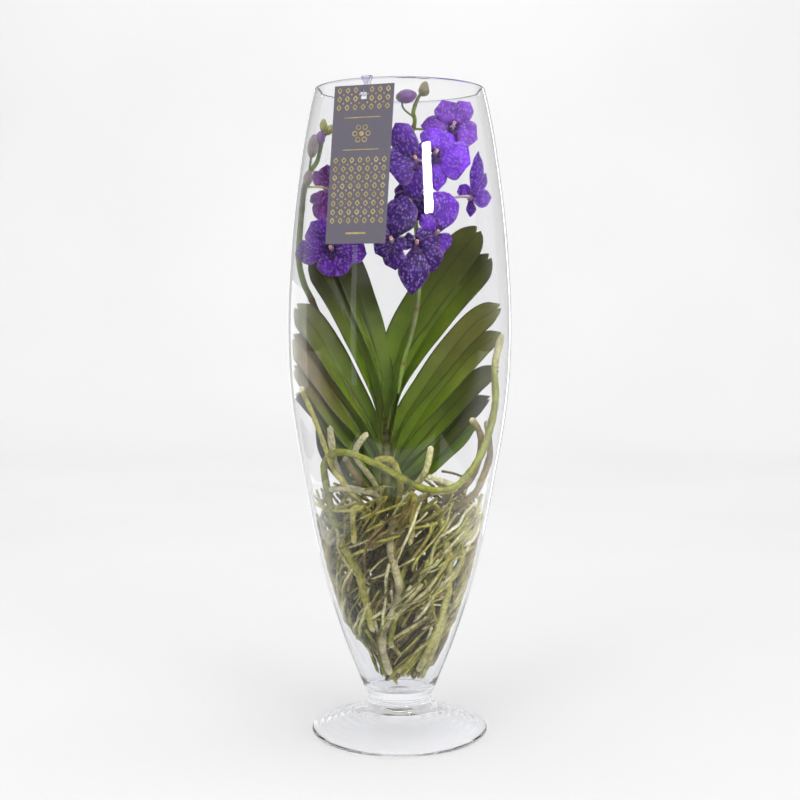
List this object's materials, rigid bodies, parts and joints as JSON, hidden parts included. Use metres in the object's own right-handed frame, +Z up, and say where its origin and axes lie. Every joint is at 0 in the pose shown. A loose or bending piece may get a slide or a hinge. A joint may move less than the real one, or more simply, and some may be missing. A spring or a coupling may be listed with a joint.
{
  "type": "orchid in vase",
  "caption": "Violet spotted orchid with strap leaves and bare aerial roots resting in a tall barrel-shaped clear glass vase on a round foot, with a patterned hang tag on a clear hook.",
  "frame": {"origin": "on the vase's axis at the plane that its foot stands on", "axes": "+Z up along the vase's axis; the pictured front, with the hang tag left of its middle, faces -Y; +X to the viewer's right"},
  "size_m": [0.2424, 0.2466, 0.7031],
  "materials": {
    "clear_glass": "clear, polished",
    "card_grey": "matte card with printed ochre pattern",
    "clear_plastic": "clear, glossy",
    "leaf_green": "waxy living leaf",
    "spike_green": "waxy living stalk",
    "root_olive": "matte spongy root skin",
    "bloom_violet": "satin petal with pale spots",
    "bloom_cream": "satin, fleshy"
  },
  "bodies": {
    "root": {"glass_vase": "clear_glass", "tag_card": "card_grey", "tag_hook": "clear_plastic", "leafy_stem": "leaf_green", "flower_spike_left": "spike_green", "flower_spike_right": "spike_green", "aerial_roots": "root_olive", "bloom_top": "bloom_violet", "bloom_upper_right": "bloom_violet", "bloom_upper_middle": "bloom_violet", "bloom_side": "bloom_violet", "bloom_middle": "bloom_violet", "bloom_lower_right": "bloom_violet", "bloom_lower_middle": "bloom_violet", "bloom_lower_left": "bloom_violet", "bloom_left": "bloom_violet", "bloom_left_top": "bloom_violet", "column_top": "bloom_cream", "column_upper_right": "bloom_cream", "column_upper_middle": "bloom_cream", "column_side": "bloom_cream", "column_middle": "bloom_cream", "column_lower_right": "bloom_cream", "column_lower_middle": "bloom_cream", "column_lower_left": "bloom_cream", "column_left": "bloom_cream", "column_left_top": "bloom_cream"}
  },
  "joints": []
}
